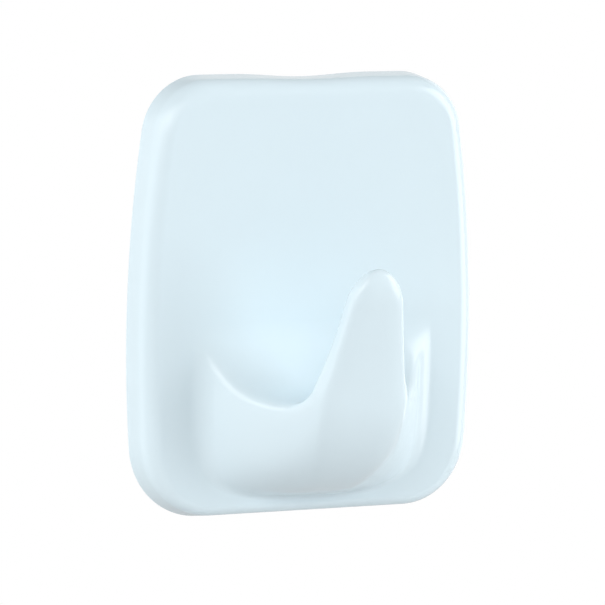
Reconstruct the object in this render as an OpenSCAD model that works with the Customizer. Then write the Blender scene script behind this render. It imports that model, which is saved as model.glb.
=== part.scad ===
// Adhesive wall hook: a moulded shell with an integral tongue hook slides down over
// a base plate, and a stretch-release adhesive strip holds the base plate to the wall.
// X runs along the width, Z runs up and the wall is the plane y = 0, with the hook on the -Y side.

/* [Shell outline] */
// Overall height of the shell
plate_h = 56; // [50:0.5:66]
// Width across the upper corners
top_w = 44.7; // [40:0.1:54]
// Width across the lower corners
bottom_w = 47.3; // [42:0.1:56]
// Radius of the upper corners
top_corner_r = 8; // [5:0.1:12]
// Radius of the lower corners
bottom_corner_r = 9.7; // [6:0.1:14]
// Radius of the bowed sides
side_r = 186; // [120:1:400]

/* [Shell section] */
// Gap between the wall and the shell's rear edge
rear_gap = 0.5; // [0.3:0.05:0.6]
// Depth of the shell from its rear edge to its face
shell_depth = 4.7; // [4.4:0.1:7]
// Thickness of the rim
rim_t = 1.8; // [1.4:0.1:2.4]
// Thickness of the face
face_wall_t = 1.7; // [1.2:0.1:2]
// Rounding between the face and the rim at the top and the sides
edge_r = 2.4; // [1.4:0.1:2.8]
// Rounding between the face and the rim at the bottom
bottom_edge_r = 1.3; // [0.8:0.1:2]
// Draft of the rim
rim_draft = 8; // [2:0.5:12]
// Width of the finger scallop in the upper rim
scallop_w = 19; // [10:0.5:26]
// Depth of the finger scallop at the rear edge
scallop_depth = 0.45; // [0.1:0.05:0.9]

/* [Hook] */
// Height of the hook's tip above the shell's lower edge
tip_h = 33; // [29:0.5:40]
// Width of the arm below the rounded tip
tip_w = 5.9; // [5:0.1:9]
// Height of the rounded tip
tip_dome_h = 4.2; // [2.5:0.1:6]
// Width of the arm where it rises out of the bend
bend_w = 11.9; // [9:0.1:13]
// Radius of the throat on the plate's side
throat_r = 9.2; // [7:0.1:10]
// Radius of the throat on the arm's side
throat_arm_r = 2.6; // [2:0.1:5]
// Height of the throat's lowest point above the shell's lower edge
saddle_h = 15.8; // [13:0.1:18]
// Outward lean of the arm's inner face
inner_lean = 13.5; // [8:0.5:20]
// Outward lean of the arm's front face
front_lean = 13.5; // [6:0.5:18]
// Radius of the hook's front where it sweeps up from the plate
front_r = 17.2; // [15:0.1:19]
// How far behind the face the centre of that sweep lies
front_setback = 2; // [1:0.1:4]
// Height of the hook's foot above the flat face's lower edge
foot_rise = 0.1; // [0.05:0.05:2]
// Fillet between the hook's foot and the face
foot_fillet_r = 0.6; // [0.3:0.1:1.5]
// Margin between the hook's root and the flat face's side edge
root_margin = 3.4; // [1:0.1:6]
// Fillet between the hook's flanks and the face
flank_fillet_r = 3.6; // [2:0.1:5]
// Depth over which the flanks ease away from the front's edges
flank_ease = 0.8; // [0.4:0.1:3]

/* [Slide] */
// Running gap between the shell's rails and the base plate
slide_gap = 0.25; // [0.15:0.05:0.35]
// Gap under the stop rib when the shell is seated
stop_gap = 0.1; // [0.05:0.05:0.3]
// Length of the rails
rail_h = 30; // [20:0.5:34]
// Thickness of a rail's web
rail_web_t = 1.4; // [1:0.1:2]
// Thickness of a rail's lip
lip_t = 0.95; // [0.7:0.05:1]
// How far a lip reaches behind its flange
lip_engagement = 1.6; // [1:0.1:2.4]

/* [Base plate] */
// Height of the base plate
base_h = 38; // [30:0.5:40]
// Width of the base plate's pad
pad_w = 21; // [20:0.5:24]
// Corner radius of the pad
pad_corner_r = 2; // [1:0.1:4]
// Thickness of the flanges
flange_t = 1.4; // [1:0.05:1.5]
// Lead-in at the upper ends of the flanges
lead_in = 1.6; // [0.8:0.1:2.5]

/* [Adhesive strip] */
// Width of the strip
strip_w = 19; // [14:0.5:20]
// Thickness of the foam core
foam_t = 0.5; // [0.4:0.05:0.7]
// Thickness of each adhesive layer
glue_t = 0.1; // [0.06:0.02:0.16]
// Margin between the strip's upper end and the base plate's upper edge
strip_margin = 1; // [0:0.1:3]
// Length of the pull tab below the base plate
tab_h = 7.5; // [5:0.5:8]
// Corner radius of the pull tab's free end
tab_corner_r = 4; // [1:0.1:5]

/* [Hidden] */
$fn = 48;

// How far a cut runs past the surface that it opens
overrun = 1;
// How deep an added rib is buried in the wall that carries it
bury = 0.3;
// Least value of a length or an angle that something is divided by
tiny = 0.001;

// Shell levels, measured out from the wall
face_t = rear_gap + shell_depth;
ceiling_t = face_t - face_wall_t;
top_z = plate_h/2;
bottom_z = -plate_h/2;

// Steps along the outline, and rings along each stretch of the skin
line_steps = 6;
corner_steps = 8;
side_steps = 17;
arm_rings = 11;
bend_rings = 22;
face_rings = 3;
edge_rings = 5;
profile_steps = 60;
// Power that crowds the bend's rings towards the plate
bend_crowding = 1.6;

// Squareness of the hook's section in the arm, and of the root's upper and lower corners: 2 is an ellipse
arm_square = 3;
root_inner_square = 14;
root_front_square = 6;
// Power of the arch in which the root closes towards its foot
root_arch = 5;
// Most of the front's height over the face that the flanks' easing takes up
ease_share = 0.3;

// Centres of the corner arcs, and the side arc that touches both from outside
top_c = [top_w/2 - top_corner_r, top_z - top_corner_r];
bottom_c = [bottom_w/2 - bottom_corner_r, bottom_z + bottom_corner_r];
centre_step = bottom_c - top_c;
centre_dir = centre_step/norm(centre_step);
top_reach = side_r - top_corner_r;
bottom_reach = side_r - bottom_corner_r;
side_along = (norm(centre_step) + (pow(top_reach, 2) - pow(bottom_reach, 2))/norm(centre_step))/2;
side_off = sqrt(pow(top_reach, 2) - pow(side_along, 2));
side_c = top_c + side_along*centre_dir + side_off*[centre_dir.y, -centre_dir.x];
top_side_a = atan2(top_c.y - side_c.y, top_c.x - side_c.x);
bottom_side_a = atan2(bottom_c.y - side_c.y, bottom_c.x - side_c.x);

// Each outline sample is a point on the rear edge and its outward normal
function line_part(p, q, normal, n) = [for (i = [0:n - 1]) [p + (q - p)*i/n, normal]];
function arc_part(c, r, a0, a1, n) = [
    for (i = [0:n - 1])
        let (a = a0 + (a1 - a0)*i/n)
        [c + r*[cos(a), sin(a)], [cos(a), sin(a)]]
];
function flipped(v) = [-v.x, v.y];

right_half = concat(
    line_part([0, top_z], [top_c.x, top_z], [0, 1], line_steps),
    arc_part(top_c, top_corner_r, 90, top_side_a, corner_steps),
    arc_part(side_c, side_r, top_side_a, bottom_side_a, side_steps),
    arc_part(bottom_c, bottom_corner_r, bottom_side_a, -90, corner_steps),
    line_part([bottom_c.x, bottom_z], [0, bottom_z], [0, -1], line_steps),
    [[[0, bottom_z], [0, -1]]]
);
left_half = [
    for (i = [len(right_half) - 2:-1:1])
        [flipped(right_half[i][0]), flipped(right_half[i][1])]
];
outline = concat(right_half, left_half);
ring_n = len(outline);

// Edge rounding at a sample: it narrows towards the bottom
function rounding(normal) = edge_r + (bottom_edge_r - edge_r)*pow(max(0, -normal.y), 2);
// Level where the drafted rim runs into the rounding, and the inset of the rounding's centre
function rim_top(r) = face_t - r*(1 - sin(rim_draft));
function centre_inset(r) = tan(rim_draft)*(rim_top(r) - rear_gap) + r*cos(rim_draft);

// Finger scallop: a cosine dip in the upper rim that grows from the face to the rear edge
function scallop(x) = abs(x) < scallop_w/2 ? scallop_depth*(1 + cos(360*x/scallop_w))/2 : 0;
function rim_dip(x, t, normal) = normal.y > cos(rim_draft) ? scallop(x)*(face_t - t)/shell_depth : 0;

// Point of a rim ring: sample, inset from the rear edge, level out from the wall
function rim_point(s, inset, t) =
    let (p = s[0] - inset*s[1])
    [p.x, -t, p.y - rim_dip(p.x, t, s[1])];
rear_ring = [for (s = outline) rim_point(s, 0, rear_gap)];
function edge_ring(a) = [
    for (s = outline)
        let (r = rounding(s[1]))
        rim_point(s, centre_inset(r) - r*sin(a), face_t - r*(1 - cos(a)))
];

// How far a fillet of radius r still stands out at a reach above the face
function fillet(reach, r) =
    let (left = min(max(r - reach, 0), r))
    r - sqrt(pow(r, 2) - pow(left, 2));

// Inner and front rails of the hook in the plane x = 0, as [level, height], from the plate up to the arm
saddle = [face_t + throat_r, bottom_z + saddle_h];
foot_z = bottom_z + centre_inset(bottom_edge_r) + foot_rise + foot_fillet_r;
front_c = [face_t - front_setback, foot_z + front_r];
front_start_a = asin(front_setback/front_r);
inner_end_a = 180 - inner_lean;
front_end_a = 90 - front_lean;
function inner_rail(g) =
    let (a = inner_end_a*g, r = a < 90 ? throat_r : throat_arm_r)
    saddle - r*[cos(a), sin(a) - 1];
function front_rail(g) =
    let (
        a = front_start_a + (front_end_a - front_start_a)*g,
        p = front_c + front_r*[sin(a), -cos(a)]
    )
    p - [0, fillet(p.x - face_t, foot_fillet_r)];

// Root of the hook on the face: straight-sided at the throat, closing in an arch towards the foot
root_half_w = bottom_w/2 - centre_inset(edge_r) - root_margin;
root_top_z = inner_rail(0).y;
root_bottom_z = front_rail(0).y;
root_mid_z = (root_top_z + root_bottom_z)/2;
function arch_half_w(z) =
    let (down_share = min(max((root_top_z - z)/(root_top_z - root_bottom_z), 0), 1))
    root_half_w*pow(1 - pow(down_share, root_arch), 1/root_arch);

// How far a flank stands out past the arm's side, at a reach above the face and a height:
// it eases away from the front's edge, slopes down and ends in a fillet that touches the face
front_profile = [
    for (i = [0:profile_steps])
        let (p = front_rail(pow(i/profile_steps, 2)))
        [p.y, p.x - face_t]
];
function flank(reach, z) =
    let (
        foot = max(arch_half_w(z) - bend_w/2, tiny),
        crest = lookup(z, front_profile),
        ease = min(max(ease_share*crest, tiny), flank_ease),
        off = flank_fillet_r - crest + ease,
        slope = asin(min(1, flank_fillet_r/norm([foot, off]))) - atan2(off, foot),
        back = max(0, crest - reach),
        eased = back < 2*ease ? pow(back, 2)/(4*ease) : back - ease
    )
    reach < flank_fillet_r*(1 - cos(slope))
        ? foot - flank_fillet_r + fillet(reach, flank_fillet_r)
        : eased/tan(max(slope, tiny));

// Unit circle drawn out towards a square, with one power for its inner half and one for its front half
function squared_circle(a, inner_square, front_square) =
    let (square = sin(a) > 0 ? inner_square : front_square)
    [cos(a), sin(a)]*pow(pow(abs(cos(a)), square) + pow(abs(sin(a)), square), -1/square);

// Section of the hook between a point on each rail: the arm and, at each level, the flanks beside it
function hook_ring(inner, front, arm_w, flank_size, inner_square, front_square) = [
    for (s = outline)
        let (
            u = squared_circle(atan2(s[0].y - root_mid_z, s[0].x), inner_square, front_square),
            p = (inner + front)/2 + u.y*(inner - front)/2
        )
        [(arm_w/2 + flank_size*flank(p.x - face_t, p.y))*u.x, -p.x, p.y]
];
function bend_ring(g) = hook_ring(
    inner_rail(g), front_rail(g), bend_w, 1,
    root_inner_square + (arm_square - root_inner_square)*g,
    root_front_square + (arm_square - root_front_square)*g
);

// Straight arm above the bend, closed by a rounded tip
tip_z = bottom_z + tip_h;
inner_rise = tip_z - inner_rail(1).y;
front_rise = tip_z - front_rail(1).y;
dome_share = tip_dome_h/(tip_z - (inner_rail(1).y + front_rail(1).y)/2);
function arm_ring(f) =
    let (
        inner = inner_rail(1) + f*inner_rise*[tan(inner_lean), 1],
        front = front_rail(1) + f*front_rise*[tan(front_lean), 1],
        mid = (inner + front)/2,
        dome = max(0, f - 1 + dome_share)/dome_share,
        size = sqrt(max(0, 1 - pow(dome, 2))),
        arm_w = (bend_w + (tip_w - bend_w)*f)*size
    )
    hook_ring(
        mid + size*(inner - mid), mid + size*(front - mid), arm_w, size,
        arm_square, arm_square
    );

// The skin's rings from the tip down the arm, over the face and round the rim to the rear edge
face_edge = edge_ring(0);
root_ring = bend_ring(0);
skin_rings = concat(
    [for (i = [arm_rings - 1:-1:0]) arm_ring(sin(90*i/arm_rings))],
    [for (i = [bend_rings - 1:-1:0]) bend_ring(pow(i/bend_rings, bend_crowding))],
    [for (i = [1:face_rings]) root_ring + (face_edge - root_ring)*i/face_rings],
    [for (i = [1:edge_rings]) edge_ring((90 - rim_draft)*i/edge_rings)],
    [rear_ring]
);

// Closed skin: a fan at the tip, bands between rings and a flat rear face
module outer_skin() {
    tip_mid = (inner_rail(1) + front_rail(1)
        + inner_rise*[tan(inner_lean), 1] + front_rise*[tan(front_lean), 1])/2;
    points = concat([[0, -tip_mid.x, tip_mid.y]], [for (ring = skin_rings) each ring]);
    last = len(skin_rings) - 1;
    function at(i, k) = 1 + i*ring_n + k % ring_n;
    fan = [for (k = [0:ring_n - 1]) [0, at(0, k), at(0, k + 1)]];
    bands = [
        for (i = [0:last - 1], k = [0:ring_n - 1])
            each [[at(i, k), at(i + 1, k), at(i + 1, k + 1)], [at(i, k), at(i + 1, k + 1), at(i, k + 1)]]
    ];
    rear = [[for (k = [ring_n - 1:-1:0]) at(last, k)]];
    polyhedron(points, concat(fan, bands, rear));
}

// Stands a flat drawing in x and z up against the wall, from one level to another
module slab(t0, t1) {
    translate([0, -t0, 0])
        rotate([90, 0, 0])
            linear_extrude(t1 - t0)
                children();
}

// Rectangle with rounded corners, given by its width and its lower and upper ends
module rounded_panel(w, z0, z1, r) {
    translate([-w/2, z0 + r])
        square([w, z1 - z0 - 2*r]);
    translate([-w/2 + r, z0])
        square([w - 2*r, z1 - z0]);
    for (x = [-w/2 + r, w/2 - r], z = [z0 + r, z1 - r])
        translate([x, z])
            circle(r);
}

// Base plate levels and widths, taken from the shell and the strip that it sits between
strip_t = foam_t + 2*glue_t;
base_front_t = ceiling_t - slide_gap;
flange_rear_t = base_front_t - flange_t;
lip_front_t = flange_rear_t - slide_gap;
flange_half_w = pad_w/2 + 2*slide_gap + lip_engagement;
web_half_w = flange_half_w + slide_gap;
base_top_z = base_h/2;
base_bottom_z = -base_h/2;

// Hollow behind the face
module cavity() {
    slab(rear_gap - overrun, ceiling_t)
        polygon([for (s = outline) s[0] - rim_t*s[1]]);
}

// Tapered pocket that cores out the thick root of the hook
core_w = 20;
core_tip_w = 5;
core_bottom_h = 5;
core_top_h = 16.6;
core_tip_bottom_h = 8.6;
core_tip_top_h = 12.8;
core_depth = 8;
core_corner_r = 2;
core_slice_t = 0.2;
module hook_core() {
    hull() {
        slab(ceiling_t - core_slice_t, ceiling_t)
            translate([0, bottom_z])
                rounded_panel(core_w, core_bottom_h, core_top_h, core_corner_r);
        slab(face_t + core_depth - core_slice_t, face_t + core_depth)
            translate([0, bottom_z])
                rounded_panel(core_tip_w, core_tip_bottom_h, core_tip_top_h, core_corner_r);
    }
}

// Relief in the lower rim that lets the base plate pass as the shell slides up
module lower_relief() {
    half_w = flange_half_w + 2*slide_gap;
    translate([-half_w, -ceiling_t, bottom_z - overrun])
        cube([2*half_w, ceiling_t + overrun, rim_t + 2*overrun]);
}

// L-shaped rail on the right: a web on the ceiling with a lip that turns in behind the flange
module rail() {
    lip_x = flange_half_w - lip_engagement;
    translate([0, 0, -rail_h/2])
        linear_extrude(rail_h)
            polygon([
                [web_half_w, -ceiling_t - bury],
                [web_half_w, -lip_front_t],
                [lip_x, -lip_front_t],
                [lip_x, -lip_front_t + lip_t],
                [web_half_w + rail_web_t, -lip_front_t + lip_t],
                [web_half_w + rail_web_t, -ceiling_t - bury]
            ]);
}

// Stop rib that rests on the base plate's upper edge
stop_w = 14;
stop_rib_t = 1.6;
module stop_rib() {
    translate([-stop_w/2, -ceiling_t - bury, base_top_z + stop_gap])
        cube([stop_w, ceiling_t + bury - strip_t - slide_gap, stop_rib_t]);
}

// Stiffening ribs on the ceiling between each rail and the rim
side_rib_t = 1.2;
side_rib_depth = 1.6;
side_rib_n = 3;
module side_ribs() {
    inner_x = web_half_w + rail_web_t - bury;
    slab(ceiling_t - side_rib_depth, ceiling_t + bury)
        intersection() {
            polygon([for (s = outline) s[0] - (rim_t - bury)*s[1]]);
            for (i = [0:side_rib_n - 1])
                translate([inner_x, (i/(side_rib_n - 1) - 1/2)*(rail_h - side_rib_t) - side_rib_t/2])
                    square([bottom_w/2, side_rib_t]);
        }
}

// Moulded cover with its integral hook
module hook_shell() {
    color([0.88, 0.95, 0.98])
        union() {
            difference() {
                outer_skin();
                cavity();
                hook_core();
                lower_relief();
            }
            stop_rib();
            for (side = [0, 1])
                mirror([side, 0, 0]) {
                    rail();
                    side_ribs();
                }
        }
}

// Plate that stays on the wall: a pad with a thin flange along each side
module base_plate() {
    color([0.9, 0.92, 0.93]) {
        slab(strip_t, base_front_t)
            rounded_panel(pad_w, base_bottom_z, base_top_z, pad_corner_r);
        slab(flange_rear_t, base_front_t)
            polygon([
                [-flange_half_w, base_bottom_z],
                [flange_half_w, base_bottom_z],
                [flange_half_w, base_top_z - lead_in],
                [flange_half_w - lead_in, base_top_z],
                [lead_in - flange_half_w, base_top_z],
                [-flange_half_w, base_top_z - lead_in]
            ]);
    }
}

// One layer of the strip behind the base plate
module strip_layer(t0, t1) {
    slab(t0, t1)
        translate([-strip_w/2, base_bottom_z])
            square([strip_w, base_h - strip_margin]);
}

module strip_foam() {
    color([0.96, 0.96, 0.94])
        strip_layer(glue_t, glue_t + foam_t);
}

module wall_adhesive() {
    color([0.92, 0.92, 0.86])
        strip_layer(0, glue_t);
}

module plate_adhesive() {
    color([0.92, 0.92, 0.86])
        strip_layer(glue_t + foam_t, strip_t);
}

// Film-covered end of the strip, square where it joins the foam and rounded at its free end
module pull_tab() {
    color([0.75, 0.85, 0.92])
        slab(glue_t, glue_t + foam_t)
            difference() {
                rounded_panel(strip_w, base_bottom_z - tab_h, base_bottom_z + tab_corner_r, tab_corner_r);
                translate([-strip_w/2 - overrun, base_bottom_z])
                    square([strip_w + 2*overrun, tab_corner_r + overrun]);
            }
}

hook_shell();
base_plate();
strip_foam();
wall_adhesive();
plate_adhesive();
pull_tab();
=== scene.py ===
"""Looks of the adhesive wall hook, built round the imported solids."""
import math

import bpy
import numpy as np
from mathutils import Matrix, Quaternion, Vector


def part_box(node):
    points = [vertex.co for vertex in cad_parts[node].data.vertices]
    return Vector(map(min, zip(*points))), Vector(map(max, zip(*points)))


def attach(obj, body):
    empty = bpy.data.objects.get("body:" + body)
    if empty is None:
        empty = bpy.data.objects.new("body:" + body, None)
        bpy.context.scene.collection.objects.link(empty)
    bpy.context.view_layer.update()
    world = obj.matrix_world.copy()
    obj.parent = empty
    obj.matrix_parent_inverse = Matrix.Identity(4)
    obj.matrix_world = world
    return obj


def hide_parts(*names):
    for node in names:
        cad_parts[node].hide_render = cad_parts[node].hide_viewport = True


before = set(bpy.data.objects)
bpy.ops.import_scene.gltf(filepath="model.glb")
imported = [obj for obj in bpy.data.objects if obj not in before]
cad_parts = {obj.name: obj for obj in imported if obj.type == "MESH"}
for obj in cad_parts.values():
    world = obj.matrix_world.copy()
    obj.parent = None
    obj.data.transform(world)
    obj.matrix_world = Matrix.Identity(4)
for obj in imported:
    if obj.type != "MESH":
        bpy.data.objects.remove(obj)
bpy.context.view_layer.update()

MM = 0.001
SMALL = 1e-6

# Shell sizes in millimetres, the same as the solid's
shell_low, shell_high = (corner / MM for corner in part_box("hook_shell"))
TOP_Z, BOTTOM_Z = shell_high.z, shell_low.z
TOP_W = 44.7
BOTTOM_W = 47.3
TOP_CORNER_R = 8
BOTTOM_CORNER_R = 9.7
SIDE_R = 186
REAR_GAP = -shell_high.y
SHELL_DEPTH = 4.7
FACE_T = REAR_GAP + SHELL_DEPTH
RIM_T = 1.8
FACE_WALL_T = 1.7
CEILING_T = FACE_T - FACE_WALL_T
EDGE_R = 2.4
BOTTOM_EDGE_R = 1.3
RIM_DRAFT = math.radians(8)
SCALLOP_W = 19
SCALLOP_DEPTH = 0.45

# Hook sizes in millimetres, the same as the solid's but for the tip, which is 0.1 lower so that this finer
# skin stays inside the solid's box
TIP_H = 32.9
TIP_W = 5.9
TIP_DOME_H = 4.2
BEND_W = 11.9
THROAT_R = 9.2
THROAT_ARM_R = 2.6
SADDLE_H = 15.8
INNER_LEAN = math.radians(13.5)
FRONT_LEAN = math.radians(13.5)
FRONT_R = 17.2
FRONT_SETBACK = 2
FOOT_RISE = 0.1
FOOT_FILLET_R = 0.6
ROOT_MARGIN = 3.4
FLANK_FILLET_R = 3.6
FLANK_EASE = 0.8
ARM_SQUARE = 3
ROOT_INNER_SQUARE = 14
ROOT_FRONT_SQUARE = 6
ROOT_ARCH = 5
EASE_SHARE = 0.3

# Back of the shell in millimetres: roundings, the pocket that cores out the hook, the rails and the ribs
LIP_R = 0.3
CEILING_R = 0.5
CORE_W = 20
CORE_TIP_W = 5
CORE_BOTTOM_H = 5
CORE_TOP_H = 16.6
CORE_TIP_BOTTOM_H = 8.6
CORE_TIP_TOP_H = 12.8
CORE_DEPTH = 8
CORE_FLOOR_R = 1
CORE_SQUARE = 7
SLIDE_GAP = 0.25
STOP_GAP = 0.1
RAIL_H = 30
RAIL_WEB_T = 1.4
LIP_T = 0.95
LIP_ENGAGEMENT = 1.6
STOP_W = 14
STOP_RIB_T = 1.6
SIDE_RIB_T = 1.2
SIDE_RIB_DEPTH = 1.6
SIDE_RIB_N = 3
BURY = 0.3
OVERRUN = 1
RIB_ROUNDING = 0.2

# Base plate and strip sizes in millimetres
base_low, base_high = (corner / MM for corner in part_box("base_plate"))
BASE_REAR_T, BASE_FRONT_T = -base_high.y, -base_low.y
FLANGE_HALF_W = base_high.x
PAD_W = 21
PAD_CORNER_R = 2
FLANGE_T = 1.4
LEAD_IN = 1.6
BASE_ROUNDING = 0.2
TAB_CORNER_R = 4
TAB_ROUNDING = 0.12
FOAM_BULGE, FOAM_WAVER = 0.14, 0.16
ADHESIVE_BULGE, ADHESIVE_WAVER = 0.05, 0.3
FACE_MARGINS = (1.2, 0.6)

# Samples along the outline and the strip's edges, and rings along each stretch of the skin
LINE_STEPS, CORNER_STEPS, SIDE_STEPS = 14, 20, 36
EDGE_SAMPLES, WAVER_RUN = 90, 4
ARM_RINGS, BEND_RINGS, FACE_RINGS, EDGE_RINGS, RIM_RINGS = 36, 72, 12, 14, 4
ROUNDING_RINGS, CORE_RINGS = 4, 8
BEND_CROWDING = 1.6
PROFILE_STEPS = 400
SHARP_ANGLE = math.radians(35)
# Least sideways part of a normal on the outline's right side
RIGHT_FACING = 0.9


def direction(angle):
    return np.stack([np.cos(angle), np.sin(angle)], axis=-1)


def line_part(start, end, normal, steps):
    share = np.arange(steps)[:, None] / steps
    points = np.array(start) + share * (np.array(end) - np.array(start))
    return points, np.tile(normal, (steps, 1)).astype(float)


def arc_part(centre, radius, first, last, steps):
    normals = direction(first + (last - first) * np.arange(steps) / steps)
    return np.array(centre) + radius * normals, normals


def make_outline():
    """Points of the shell's rear edge and their outward normals, clockwise from the middle of the top."""
    top_c = np.array([TOP_W / 2 - TOP_CORNER_R, TOP_Z - TOP_CORNER_R])
    bottom_c = np.array([BOTTOM_W / 2 - BOTTOM_CORNER_R, BOTTOM_Z + BOTTOM_CORNER_R])
    step = bottom_c - top_c
    length = np.linalg.norm(step)
    top_reach, bottom_reach = SIDE_R - TOP_CORNER_R, SIDE_R - BOTTOM_CORNER_R
    along = (length + (top_reach**2 - bottom_reach**2) / length) / 2
    off = math.sqrt(top_reach**2 - along**2)
    side_c = top_c + (along * step + off * np.array([step[1], -step[0]])) / length
    top_a = math.atan2(*(top_c - side_c)[::-1])
    bottom_a = math.atan2(*(bottom_c - side_c)[::-1])
    parts = [
        line_part((0, TOP_Z), (top_c[0], TOP_Z), (0, 1), LINE_STEPS),
        arc_part(top_c, TOP_CORNER_R, math.pi / 2, top_a, CORNER_STEPS),
        arc_part(side_c, SIDE_R, top_a, bottom_a, SIDE_STEPS),
        arc_part(bottom_c, BOTTOM_CORNER_R, bottom_a, -math.pi / 2, CORNER_STEPS),
        line_part((bottom_c[0], BOTTOM_Z), (0, BOTTOM_Z), (0, -1), LINE_STEPS),
    ]
    points = np.vstack([p for p, _ in parts] + [[[0, BOTTOM_Z]]])
    normals = np.vstack([n for _, n in parts] + [[[0, -1]]])
    flip = np.array([-1, 1])
    return np.vstack([points, flip * points[-2:0:-1]]), np.vstack([normals, flip * normals[-2:0:-1]])


OUTLINE, NORMALS = make_outline()


def ring3(x, level, z):
    """Points in the part's frame from x, the level out from the wall and the height."""
    return np.stack(np.broadcast_arrays(x, -np.asarray(level), z), axis=-1).astype(float)


def rounding():
    return EDGE_R + (BOTTOM_EDGE_R - EDGE_R) * np.maximum(0, -NORMALS[:, 1]) ** 2


def rim_top(r):
    return FACE_T - r * (1 - math.sin(RIM_DRAFT))


def centre_inset(r):
    return math.tan(RIM_DRAFT) * (rim_top(r) - REAR_GAP) + r * math.cos(RIM_DRAFT)


def rim_points(inset, level):
    inset = np.broadcast_to(inset, len(OUTLINE))
    p = OUTLINE - inset[:, None] * NORMALS
    wave = SCALLOP_DEPTH * (1 + np.cos(2 * math.pi * p[:, 0] / SCALLOP_W)) / 2
    dip = np.where(np.abs(p[:, 0]) < SCALLOP_W / 2, wave, 0) * (FACE_T - level) / SHELL_DEPTH
    dip = np.where(NORMALS[:, 1] > math.cos(RIM_DRAFT), dip, 0)
    return ring3(p[:, 0], level, p[:, 1] - dip)


def edge_ring(angle):
    r = rounding()
    return rim_points(centre_inset(r) - r * math.sin(angle), FACE_T - r * (1 - math.cos(angle)))


def rim_ring(share):
    low = REAR_GAP + LIP_R
    level = low + (rim_top(rounding()) - low) * share
    return rim_points(math.tan(RIM_DRAFT) * (level - REAR_GAP), level)


# Rails of the hook in the plane x = 0, as level and height
saddle = np.array([FACE_T + THROAT_R, BOTTOM_Z + SADDLE_H])
foot_z = BOTTOM_Z + centre_inset(BOTTOM_EDGE_R) + FOOT_RISE + FOOT_FILLET_R
front_c = np.array([FACE_T - FRONT_SETBACK, foot_z + FRONT_R])
front_start = math.asin(FRONT_SETBACK / FRONT_R)


def fillet(reach, r):
    """How far a fillet of radius r still stands out, at a reach above the face."""
    left = np.clip(r - reach, 0, r)
    return r - np.sqrt(r**2 - left**2)


def inner_rail(g):
    """Throat: a wide quarter circle down from the face, then a tight one up into the arm."""
    a = (math.pi - INNER_LEAN) * g
    r = THROAT_R if a < math.pi / 2 else THROAT_ARM_R
    return saddle - r * np.array([math.cos(a), math.sin(a) - 1])


def front_rail(g):
    a = front_start + (math.pi / 2 - FRONT_LEAN - front_start) * g
    point = front_c + FRONT_R * np.array([math.sin(a), -math.cos(a)])
    return point - np.array([0, fillet(point[0] - FACE_T, FOOT_FILLET_R)])


root_half_w = BOTTOM_W / 2 - centre_inset(EDGE_R) - ROOT_MARGIN
root_top_z, root_bottom_z = inner_rail(0)[1], front_rail(0)[1]
root_mid_z = (root_top_z + root_bottom_z) / 2
front_profile = np.array([front_rail((i / PROFILE_STEPS) ** 2) for i in range(PROFILE_STEPS + 1)])


def flank(reach, z):
    """How far the flank stands out past the arm: it eases off the front, slopes and ends in a fillet."""
    down_share = np.clip((root_top_z - z) / (root_top_z - root_bottom_z), 0, 1)
    arch_half_w = root_half_w * (1 - down_share**ROOT_ARCH) ** (1 / ROOT_ARCH)
    foot = np.maximum(arch_half_w - BEND_W / 2, SMALL)
    crest = np.interp(z, front_profile[:, 1], front_profile[:, 0]) - FACE_T
    ease = np.clip(EASE_SHARE * crest, SMALL, FLANK_EASE)
    off = FLANK_FILLET_R - crest + ease
    slope = np.arcsin(np.minimum(1, FLANK_FILLET_R / np.hypot(foot, off))) - np.arctan2(off, foot)
    back = np.maximum(0, crest - reach)
    set_back = np.where(back < 2 * ease, back**2 / (4 * ease), back - ease)
    sloped = set_back / np.tan(np.maximum(slope, SMALL))
    curved = foot - FLANK_FILLET_R + fillet(reach, FLANK_FILLET_R)
    return np.where(reach < FLANK_FILLET_R * (1 - np.cos(slope)), curved, sloped)


def squared_circle(a, inner_square, front_square):
    """Unit circle drawn out towards a square, with a power for its inner half and one for its front."""
    c, s = np.cos(a), np.sin(a)
    square = np.where(s > 0, inner_square, front_square)
    size = (np.abs(c) ** square + np.abs(s) ** square) ** (-1 / square)
    return c * size, s * size


def hook_ring(inner, front, arm_w, flank_size, inner_square, front_square):
    """Section of the hook between its rails: the arm's width and, at each level, the flanks beside it."""
    a = np.arctan2(OUTLINE[:, 1] - root_mid_z, OUTLINE[:, 0])
    across, along = squared_circle(a, inner_square, front_square)
    p = (inner + front) / 2 + along[:, None] * (inner - front) / 2
    half_w = arm_w / 2 + flank_size * flank(p[:, 0] - FACE_T, p[:, 1])
    return ring3(half_w * across, p[:, 0], p[:, 1])


def bend_ring(g):
    inner_square = ROOT_INNER_SQUARE + (ARM_SQUARE - ROOT_INNER_SQUARE) * g
    front_square = ROOT_FRONT_SQUARE + (ARM_SQUARE - ROOT_FRONT_SQUARE) * g
    return hook_ring(inner_rail(g), front_rail(g), BEND_W, 1, inner_square, front_square)


tip_z = BOTTOM_Z + TIP_H


def arm_rails(f):
    inner, front = inner_rail(1), front_rail(1)
    inner = inner + f * (tip_z - inner[1]) * np.array([math.tan(INNER_LEAN), 1])
    front = front + f * (tip_z - front[1]) * np.array([math.tan(FRONT_LEAN), 1])
    return inner, front


def arm_ring(f):
    inner, front = arm_rails(f)
    mid = (inner + front) / 2
    dome_share = TIP_DOME_H / (tip_z - (inner_rail(1)[1] + front_rail(1)[1]) / 2)
    dome = max(0, f - 1 + dome_share) / dome_share
    size = math.sqrt(max(0, 1 - dome**2))
    arm_w = (BEND_W + (TIP_W - BEND_W) * f) * size
    inner, front = mid + size * (inner - mid), mid + size * (front - mid)
    return hook_ring(inner, front, arm_w, size, ARM_SQUARE, ARM_SQUARE)


def eased(share):
    """Share that moves slowly at both ends, so that rings lie close together there."""
    return (1 - math.cos(math.pi * share)) / 2


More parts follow.
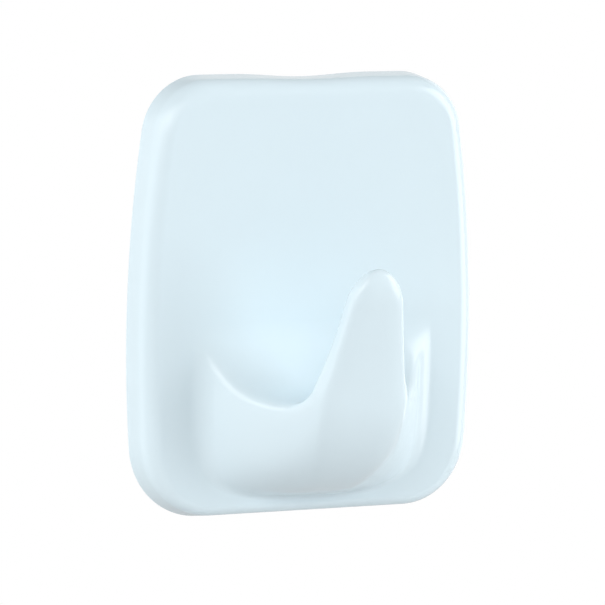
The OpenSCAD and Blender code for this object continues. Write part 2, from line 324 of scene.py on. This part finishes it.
def skin_rings():
    """Rings from the tip down the arm, over the face and round the rim to the rear edge."""
    face_edge, root = edge_ring(0), bend_ring(0)
    rings = [arm_ring(math.sin(math.pi / 2 * i / ARM_RINGS)) for i in range(ARM_RINGS - 1, -1, -1)]
    rings += [bend_ring((i / BEND_RINGS) ** BEND_CROWDING) for i in range(BEND_RINGS - 1, -1, -1)]
    rings += [root + (face_edge - root) * eased(i / FACE_RINGS) for i in range(1, FACE_RINGS + 1)]
    rings += [edge_ring((math.pi / 2 - RIM_DRAFT) * i / EDGE_RINGS) for i in range(1, EDGE_RINGS + 1)]
    rings += [rim_ring(1 - i / RIM_RINGS) for i in range(1, RIM_RINGS + 1)]
    return rings


def inset_ring(inset, level):
    p = OUTLINE - inset * NORMALS
    return ring3(p[:, 0], level, p[:, 1])


def core_ring(share, spread, level):
    """Outline of the core pocket, at a share of the way from the ceiling to the pocket's floor."""
    half_w = (CORE_W + (CORE_TIP_W - CORE_W) * share) / 2 + spread
    low = BOTTOM_Z + CORE_BOTTOM_H + (CORE_TIP_BOTTOM_H - CORE_BOTTOM_H) * share - spread
    high = BOTTOM_Z + CORE_TOP_H + (CORE_TIP_TOP_H - CORE_TOP_H) * share + spread
    mid, half_h = (low + high) / 2, (high - low) / 2
    a = np.arctan2((OUTLINE[:, 1] - mid) / half_h, OUTLINE[:, 0] / half_w)
    across, along = squared_circle(a, CORE_SQUARE, CORE_SQUARE)
    return ring3(half_w * across, level, mid + half_h * along)


def back_rings():
    """Rings from the rear edge over its lip, the inner wall and the ceiling into the core pocket."""
    turns = [math.pi / 2 * i / ROUNDING_RINGS for i in range(ROUNDING_RINGS + 1)]
    core_floor_t = FACE_T + CORE_DEPTH
    core_start_t, core_end_t = CEILING_T + LIP_R, core_floor_t - CORE_FLOOR_R
    rings = [
        rim_points(LIP_R * (1 - math.cos(a)), REAR_GAP + LIP_R * (1 - math.sin(a)))
        for a in turns[1:]
    ]
    rings += [
        inset_ring(RIM_T - LIP_R * (1 - math.sin(a)), REAR_GAP + LIP_R * (1 - math.cos(a)))
        for a in turns
    ]
    rings += [
        inset_ring(RIM_T + CEILING_R * (1 - math.cos(a)), CEILING_T - CEILING_R * (1 - math.sin(a)))
        for a in turns
    ]
    rings += [core_ring(0, LIP_R * (1 - math.sin(a)), CEILING_T + LIP_R * (1 - math.cos(a))) for a in turns]
    for i in range(1, CORE_RINGS + 1):
        share = i / CORE_RINGS
        rings.append(core_ring(share, 0, core_start_t + (core_end_t - core_start_t) * share))
    for a in turns[1:]:
        level = core_floor_t - CORE_FLOOR_R * (1 - math.sin(a))
        rings.append(core_ring(1, -CORE_FLOOR_R * (1 - math.cos(a)), level))
    return rings


def new_piece(name, points, faces):
    """Object from points in millimetres and faces."""
    mesh = bpy.data.meshes.new(name)
    mesh.from_pydata((np.asarray(points, float) * MM).tolist(), [], faces)
    piece = bpy.data.objects.new(name, mesh)
    bpy.context.scene.collection.objects.link(piece)
    return piece


def shade(piece):
    piece.data.shade_smooth()
    piece.data.set_sharp_from_angle(angle=SHARP_ANGLE)


def apply_modifiers(piece):
    evaluated = piece.evaluated_get(bpy.context.evaluated_depsgraph_get())
    old, piece.data = piece.data, bpy.data.meshes.new_from_object(evaluated)
    piece.modifiers.clear()
    bpy.data.meshes.remove(old)


def round_edges(piece, radius):
    bevel = piece.modifiers.new("rounding", "BEVEL")
    bevel.width = radius * MM
    bevel.segments = ROUNDING_RINGS
    bevel.limit_method = "ANGLE"
    bevel.angle_limit = SHARP_ANGLE
    apply_modifiers(piece)


def combine(piece, tool, operation):
    """Adds a closed tool mesh to a piece or cuts it away, and removes the tool."""
    boolean = piece.modifiers.new("combine", "BOOLEAN")
    boolean.operation = operation
    boolean.solver = "EXACT"
    boolean.object = tool
    apply_modifiers(piece)
    bpy.data.objects.remove(tool)


def bridge(name, first, second, mirrored=False):
    """Closed solid between two outlines of equal length, whose faces turn round if it is mirrored."""
    n = len(first)
    faces = [(k, (k + 1) % n, n + (k + 1) % n, n + k) for k in range(n)]
    faces += [tuple(range(n))[::-1], tuple(range(n, 2 * n))]
    if mirrored:
        faces = [face[::-1] for face in faces]
    return new_piece(name, first + second, faces)


def prism(name, outline, low, high):
    """Closed solid from an outline in x and height, between two levels out from the wall."""
    return bridge(name, *([(x, -level, z) for x, z in outline] for level in (low, high)))


def rail(side):
    """L-shaped rail: a web on the ceiling with a lip that turns in behind the base plate's flange."""
    lip_front_t = BASE_FRONT_T - FLANGE_T - SLIDE_GAP
    lip_rear_t = lip_front_t - LIP_T
    root_t = CEILING_T + BURY
    lip_x = FLANGE_HALF_W - LIP_ENGAGEMENT
    web_x = FLANGE_HALF_W + SLIDE_GAP
    outer_x = web_x + RAIL_WEB_T
    profile = [(web_x, root_t), (web_x, lip_front_t), (lip_x, lip_front_t)]
    profile += [(lip_x, lip_rear_t), (outer_x, lip_rear_t), (outer_x, root_t)]
    ends = ([(side * x, -level, z) for x, level in profile] for z in (-RAIL_H / 2, RAIL_H / 2))
    piece = bridge("rail", *ends, mirrored=side < 0)
    round_edges(piece, RIB_ROUNDING)
    return piece


def block(name, low, high):
    """Box between two corners, each given as x, level and height."""
    (x0, t0, z0), (x1, t1, z1) = low, high
    return prism(name, [(x0, z0), (x1, z0), (x1, z1), (x0, z1)], t0, t1)


def stop_rib():
    rear_t = BASE_REAR_T + SLIDE_GAP
    low_z = base_high.z + STOP_GAP
    high = (STOP_W / 2, CEILING_T + BURY, low_z + STOP_RIB_T)
    rib = block("stop_rib", (-STOP_W / 2, rear_t, low_z), high)
    round_edges(rib, RIB_ROUNDING)
    return rib


def side_rib(side, share):
    """Stiffening rib from a rail to the rim, at a share of the rail's length."""
    inner_x = FLANGE_HALF_W + SLIDE_GAP + RAIL_WEB_T - BURY
    low_z = -RAIL_H / 2 + (RAIL_H - SIDE_RIB_T) * share
    right = NORMALS[:, 0] > RIGHT_FACING
    outer_x = np.interp(-low_z, -OUTLINE[right, 1], OUTLINE[right, 0]) - RIM_T + BURY
    x0, x1 = sorted((side * inner_x, side * outer_x))
    high = (x1, CEILING_T + BURY, low_z + SIDE_RIB_T)
    return block("side_rib", (x0, CEILING_T - SIDE_RIB_DEPTH, low_z), high)


def loft(name, start, rings, end):
    """Closed mesh from a start point through rings of equal length to an end point, given in millimetres."""
    n = len(rings[0])
    points = np.vstack([[start], *rings, [end]])
    faces = []
    for k in range(n):
        after = (k + 1) % n
        faces.append((0, 1 + k, 1 + after))
        for i in range(len(rings) - 1):
            a, b = 1 + i * n, 1 + (i + 1) * n
            faces.append((a + k, b + k, b + after, a + after))
        last = 1 + (len(rings) - 1) * n
        faces.append((len(points) - 1, last + after, last + k))
    return new_piece(name, points, faces)


def make_shell():
    """Moulded cover with its hook: one lofted skin, the relief in its lower rim, then the rails and ribs."""
    inner, front = arm_rails(1)
    tip = (inner + front) / 2
    core_end = core_ring(1, 0, FACE_T + CORE_DEPTH).mean(axis=0)
    piece = loft("shell", (0, -tip[0], tip[1]), skin_rings() + back_rings(), core_end)
    half_w = FLANGE_HALF_W + 2 * SLIDE_GAP
    relief_high = BOTTOM_Z + RIM_T + OVERRUN
    relief = block("relief", (-half_w, -OVERRUN, BOTTOM_Z - OVERRUN), (half_w, CEILING_T, relief_high))
    combine(piece, relief, "DIFFERENCE")
    for side in (-1, 1):
        combine(piece, rail(side), "UNION")
        for i in range(SIDE_RIB_N):
            combine(piece, side_rib(side, i / (SIDE_RIB_N - 1)), "UNION")
    combine(piece, stop_rib(), "UNION")
    shade(piece)
    return piece


def rounded_rectangle(low, high, radii, steps):
    """Outline from the lower left corner anticlockwise, with radii for the lower and the upper corners."""
    (x0, z0), (x1, z1) = low, high
    lower_r, upper_r = radii
    corners = [(x0, z0, 1, 1, lower_r), (x1, z0, -1, 1, lower_r)]
    corners += [(x1, z1, -1, -1, upper_r), (x0, z1, 1, -1, upper_r)]
    outline = []
    for i, (x, z, right, up, r) in enumerate(corners):
        if r == 0:
            outline.append((x, z))
            continue
        for k in range(steps + 1):
            a = math.pi + math.pi / 2 * (i + k / steps)
            outline.append((x + r * (right + math.cos(a)), z + r * (up + math.sin(a))))
    return outline


def make_base_plate():
    """Plate that stays on the wall: a pad with a thin flange along each side, which leads in at the top."""
    low_z, high_z = base_low.z, base_high.z
    lead_x, lead_z = FLANGE_HALF_W - LEAD_IN, high_z - LEAD_IN
    flanges = [(-FLANGE_HALF_W, low_z), (FLANGE_HALF_W, low_z), (FLANGE_HALF_W, lead_z)]
    flanges += [(lead_x, high_z), (-lead_x, high_z), (-FLANGE_HALF_W, lead_z)]
    pad_radii = (PAD_CORNER_R, PAD_CORNER_R)
    pad = rounded_rectangle((-PAD_W / 2, low_z), (PAD_W / 2, high_z), pad_radii, CORNER_STEPS)
    piece = prism("base_plate_moulding", flanges, BASE_FRONT_T - FLANGE_T, BASE_FRONT_T)
    combine(piece, prism("pad", pad, BASE_REAR_T, BASE_FRONT_T - FLANGE_T / 2), "UNION")
    round_edges(piece, BASE_ROUNDING)
    shade(piece)
    return piece


def strip_outline(low, high):
    """Edge of a strip cut from a sheet, in even samples from the lower left corner anticlockwise."""
    x0, z0, x1, z1 = low.x, low.z, high.x, high.z
    corners = np.array([(x0, z0), (x1, z0), (x1, z1), (x0, z1), (x0, z0)])
    parts = [
        line_part(corners[i], corners[i + 1], normal, EDGE_SAMPLES)
        for i, normal in enumerate([(0, -1), (1, 0), (0, 1), (-1, 0)])
    ]
    return np.vstack([p for p, _ in parts]), np.vstack([n for _, n in parts])


def make_layer(name, node, bulge, waver):
    """Sheet of the strip, whose cut edge bows in towards both faces and wavers a little."""
    low, high = (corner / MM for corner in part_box(node))
    points, normals = strip_outline(low, high)
    along = np.arange(len(points))
    wave = waver * (2 + np.sin(along / WAVER_RUN) + np.sin(along / (WAVER_RUN * math.e))) / 4
    mid, half = (low + high) / 2, (high - low) / 2
    inner = []
    for margin in FACE_MARGINS:
        x = mid.x + (points[:, 0] - mid.x) * (half.x - margin) / half.x
        z = mid.z + (points[:, 1] - mid.z) * (half.z - margin) / half.z
        inner.append((x, z))
    rings = [ring3(x, -high.y, z) for x, z in inner]
    for share in np.linspace(0, 1, 2 * ROUNDING_RINGS + 1):
        bow = bulge * (1 - math.sqrt(max(0, 1 - (2 * share - 1) ** 2)))
        p = points - (bow + wave)[:, None] * normals
        rings.append(ring3(p[:, 0], -high.y + (high.y - low.y) * share, p[:, 1]))
    rings += [ring3(x, -low.y, z) for x, z in reversed(inner)]
    piece = loft(name, (mid.x, low.y, mid.z), rings[::-1], (mid.x, high.y, mid.z))
    shade(piece)
    return piece


def make_tab():
    """Film-covered end of the strip, square where it joins the foam and rounded at its free end."""
    low, high = (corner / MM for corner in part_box("pull_tab"))
    outline = rounded_rectangle((low.x, low.z), (high.x, high.z), (TAB_CORNER_R, 0), CORNER_STEPS)
    piece = prism("tab_of_film", outline, -high.y, -low.y)
    round_edges(piece, TAB_ROUNDING)
    shade(piece)
    return piece


PATCH_DETAIL, GRAIN_DETAIL = 3, 2
CELL_SCALE, CELL_DEPTH = 5000, 5e-5


def plastic(name, first, second, patch_scale, rough, grain_scale, grain_depth):
    """Material whose colour drifts between two tones, with a fine grain in its roughness and its relief."""
    material = bpy.data.materials.new(name)
    material.use_nodes = True
    nodes, links = material.node_tree.nodes, material.node_tree.links
    shader = nodes["Principled BSDF"]
    place = nodes.new("ShaderNodeTexCoord")
    patches = nodes.new("ShaderNodeTexNoise")
    patches.inputs["Scale"].default_value = patch_scale
    patches.inputs["Detail"].default_value = PATCH_DETAIL
    links.new(place.outputs["Object"], patches.inputs["Vector"])
    tones = nodes.new("ShaderNodeMix")
    tones.data_type = "RGBA"
    tones.inputs["A"].default_value = (*first, 1)
    tones.inputs["B"].default_value = (*second, 1)
    links.new(patches.outputs["Fac"], tones.inputs["Factor"])
    links.new(tones.outputs["Result"], shader.inputs["Base Color"])
    grain = nodes.new("ShaderNodeTexNoise")
    grain.inputs["Scale"].default_value = grain_scale
    grain.inputs["Detail"].default_value = GRAIN_DETAIL
    links.new(place.outputs["Object"], grain.inputs["Vector"])
    sheen = nodes.new("ShaderNodeMapRange")
    sheen.inputs["To Min"].default_value, sheen.inputs["To Max"].default_value = rough
    links.new(grain.outputs["Fac"], sheen.inputs["Value"])
    links.new(sheen.outputs["Result"], shader.inputs["Roughness"])
    relief = nodes.new("ShaderNodeBump")
    relief.inputs["Distance"].default_value = grain_depth
    links.new(grain.outputs["Fac"], relief.inputs["Height"])
    links.new(relief.outputs["Normal"], shader.inputs["Normal"])
    return material


def foam_material():
    """Closed-cell foam: small round cells that stand out in relief."""
    material = plastic(
        "foam", first=(0.86, 0.86, 0.81), second=(0.91, 0.91, 0.87), patch_scale=400,
        rough=(0.75, 0.95), grain_scale=3000, grain_depth=CELL_DEPTH,
    )
    nodes, links = material.node_tree.nodes, material.node_tree.links
    cells = nodes.new("ShaderNodeTexVoronoi")
    cells.inputs["Scale"].default_value = CELL_SCALE
    relief = nodes["Bump"]
    relief.invert = True
    links.new(nodes["Texture Coordinate"].outputs["Object"], cells.inputs["Vector"])
    links.new(cells.outputs["Distance"], relief.inputs["Height"])
    return material


def finish_piece(piece, material, body, node):
    piece.data.materials.clear()
    piece.data.materials.append(material)
    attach(piece, body)
    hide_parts(node)


shell = make_shell()
gloss = plastic(
    "shell_gloss", first=(0.734, 0.866, 0.93), second=(0.748, 0.88, 0.942), patch_scale=70,
    rough=(0.19, 0.26), grain_scale=1500, grain_depth=2e-7,
)
finish_piece(shell, gloss, "hook", "hook_shell")

satin = plastic(
    "base_matte", first=(0.76, 0.8, 0.82), second=(0.81, 0.85, 0.87), patch_scale=120,
    rough=(0.42, 0.62), grain_scale=4000, grain_depth=1e-5,
)
finish_piece(make_base_plate(), satin, "mount", "base_plate")

foam = make_layer("foam_core", "strip_foam", FOAM_BULGE, FOAM_WAVER)
finish_piece(foam, foam_material(), "mount", "strip_foam")

tacky = plastic(
    "adhesive", first=(0.8, 0.78, 0.67), second=(0.86, 0.85, 0.76), patch_scale=300,
    rough=(0.3, 0.45), grain_scale=900, grain_depth=2e-5,
)
for name, node in [("wall_side_adhesive", "wall_adhesive"), ("plate_side_adhesive", "plate_adhesive")]:
    layer = make_layer(name, node, ADHESIVE_BULGE, ADHESIVE_WAVER)
    finish_piece(layer, tacky, "mount", node)

film = plastic(
    "tab_film", first=(0.5, 0.68, 0.81), second=(0.56, 0.72, 0.84), patch_scale=250,
    rough=(0.3, 0.45), grain_scale=2500, grain_depth=6e-6,
)
finish_piece(make_tab(), film, "mount", "pull_tab")

# Camera at the photograph's viewing angle, for a square picture, in metres
VIEW_AZIMUTH = math.radians(-28)
VIEW_ELEVATION = math.radians(5.8)
VIEW_ROLL = math.radians(0.75)
VIEW_DISTANCE = 0.7
VIEW_AIM = Vector((-0.00075, -0.0037, -0.001))
PICTURE_PIXELS = 605
PIXELS_PER_METRE = 7885
PICTURE_W = PICTURE_PIXELS / PIXELS_PER_METRE
CLIP_NEAR, CLIP_FAR = 0.01, 20


def toward(azimuth, elevation):
    """Unit vector towards an azimuth, 0 in front and positive to the right, and an elevation."""
    flat = math.cos(elevation)
    return Vector((math.sin(azimuth) * flat, -math.cos(azimuth) * flat, math.sin(elevation)))


def add_camera():
    data = bpy.data.cameras.new("camera")
    data.lens = data.sensor_width * VIEW_DISTANCE / PICTURE_W
    data.clip_start, data.clip_end = CLIP_NEAR, CLIP_FAR
    camera = bpy.data.objects.new("camera", data)
    back = toward(VIEW_AZIMUTH, VIEW_ELEVATION)
    camera.location = VIEW_AIM + VIEW_DISTANCE * back
    camera.rotation_mode = "QUATERNION"
    camera.rotation_quaternion = (-back).to_track_quat("-Z", "Y") @ Quaternion((0, 0, 1), VIEW_ROLL)
    bpy.context.scene.collection.objects.link(camera)
    bpy.context.scene.camera = camera


# Lamps: name, azimuth, elevation, width and height in degrees, and brightness
LAMP_DISTANCE = 1.5
SOFTBOXES = [
    ("right_key", 60, 10, 36, 45, 3.75),
    ("right_rim_light", 104, 5, 52, 60, 0.75),
    ("left_key", -60, 25, 50, 35, 2.45),
    ("left_rim_light", -110, 0, 60, 70, 0.9),
    ("front_fill", -25, 25, 40, 30, 1.5),
]


def add_softbox(name, azimuth, elevation, across, up, radiance):
    """Rectangular lamp that faces the object, with its place and size in degrees and its brightness."""
    data = bpy.data.lights.new(name, "AREA")
    data.shape = "RECTANGLE"
    data.size = 2 * LAMP_DISTANCE * math.tan(math.radians(across / 2))
    data.size_y = 2 * LAMP_DISTANCE * math.tan(math.radians(up / 2))
    data.energy = radiance * math.pi * data.size * data.size_y
    lamp = bpy.data.objects.new(name, data)
    away = toward(math.radians(azimuth), math.radians(elevation))
    lamp.location = LAMP_DISTANCE * away
    lamp.rotation_euler = (-away).to_track_quat("-Z", "Y").to_euler()
    lamp.visible_camera = False
    bpy.context.scene.collection.objects.link(lamp)


def white_where_seen(nodes, links, plain, white):
    """Mix of two shaders: white where the camera, a reflection or a see-through surface looks."""
    path = nodes.new("ShaderNodeLightPath")
    first = nodes.new("ShaderNodeMath")
    first.operation = "MAXIMUM"
    second = nodes.new("ShaderNodeMath")
    second.operation = "MAXIMUM"
    links.new(path.outputs["Is Camera Ray"], first.inputs[0])
    links.new(path.outputs["Is Glossy Ray"], first.inputs[1])
    links.new(first.outputs[0], second.inputs[0])
    links.new(path.outputs["Is Transmission Ray"], second.inputs[1])
    mix = nodes.new("ShaderNodeMixShader")
    links.new(second.outputs[0], mix.inputs[0])
    links.new(plain, mix.inputs[1])
    links.new(white, mix.inputs[2])
    return mix.outputs[0]


AMBIENT = 0.3


def add_world():
    world = bpy.data.worlds.new("studio")
    bpy.context.scene.world = world
    world.use_nodes = True
    background = world.node_tree.nodes["Background"]
    background.inputs["Color"].default_value = (1, 1, 1, 1)
    background.inputs["Strength"].default_value = AMBIENT


def stage_sheet(name, corners, material):
    mesh = bpy.data.meshes.new(name)
    mesh.from_pydata(corners, [], [(0, 1, 2, 3)])
    mesh.materials.append(material)
    sheet = bpy.data.objects.new(name, mesh)
    bpy.context.scene.collection.objects.link(sheet)


PAPER_GREY = 0.8
PAPER_ROUGHNESS = 0.9


def paper_material(name):
    material = bpy.data.materials.new(name)
    material.use_nodes = True
    shader = material.node_tree.nodes["Principled BSDF"]
    shader.inputs["Base Color"].default_value = (PAPER_GREY, PAPER_GREY, PAPER_GREY, 1)
    shader.inputs["Roughness"].default_value = PAPER_ROUGHNESS
    return material


BACKDROP_DISTANCE = 2
BACKDROP_HALF = 1.5


def add_backdrop():
    """White sheet far behind the object, square to the camera's view."""
    material = paper_material("backdrop")
    nodes, links = material.node_tree.nodes, material.node_tree.links
    white = nodes.new("ShaderNodeEmission")
    white.inputs["Strength"].default_value = 1
    mixed = white_where_seen(nodes, links, nodes["Principled BSDF"].outputs[0], white.outputs[0])
    links.new(mixed, nodes["Material Output"].inputs["Surface"])
    middle = -BACKDROP_DISTANCE * toward(VIEW_AZIMUTH, VIEW_ELEVATION)
    right = BACKDROP_HALF * toward(VIEW_AZIMUTH + math.pi / 2, 0)
    up = Vector((0, 0, BACKDROP_HALF))
    corners = [middle - right - up, middle + right - up, middle + right + up, middle - right + up]
    stage_sheet("backdrop", corners, material)


FLOOR_Z = -0.15
FLOOR_SIZE = 0.9


def add_floor():
    half = FLOOR_SIZE / 2
    corners = [(x, y, FLOOR_Z) for x, y in [(-half, -half), (half, -half), (half, half), (-half, half)]]
    stage_sheet("floor", corners, paper_material("floor"))


add_camera()
add_world()
add_floor()
add_backdrop()
for softbox in SOFTBOXES:
    add_softbox(*softbox)
bpy.context.scene.view_settings.view_transform = "Standard"
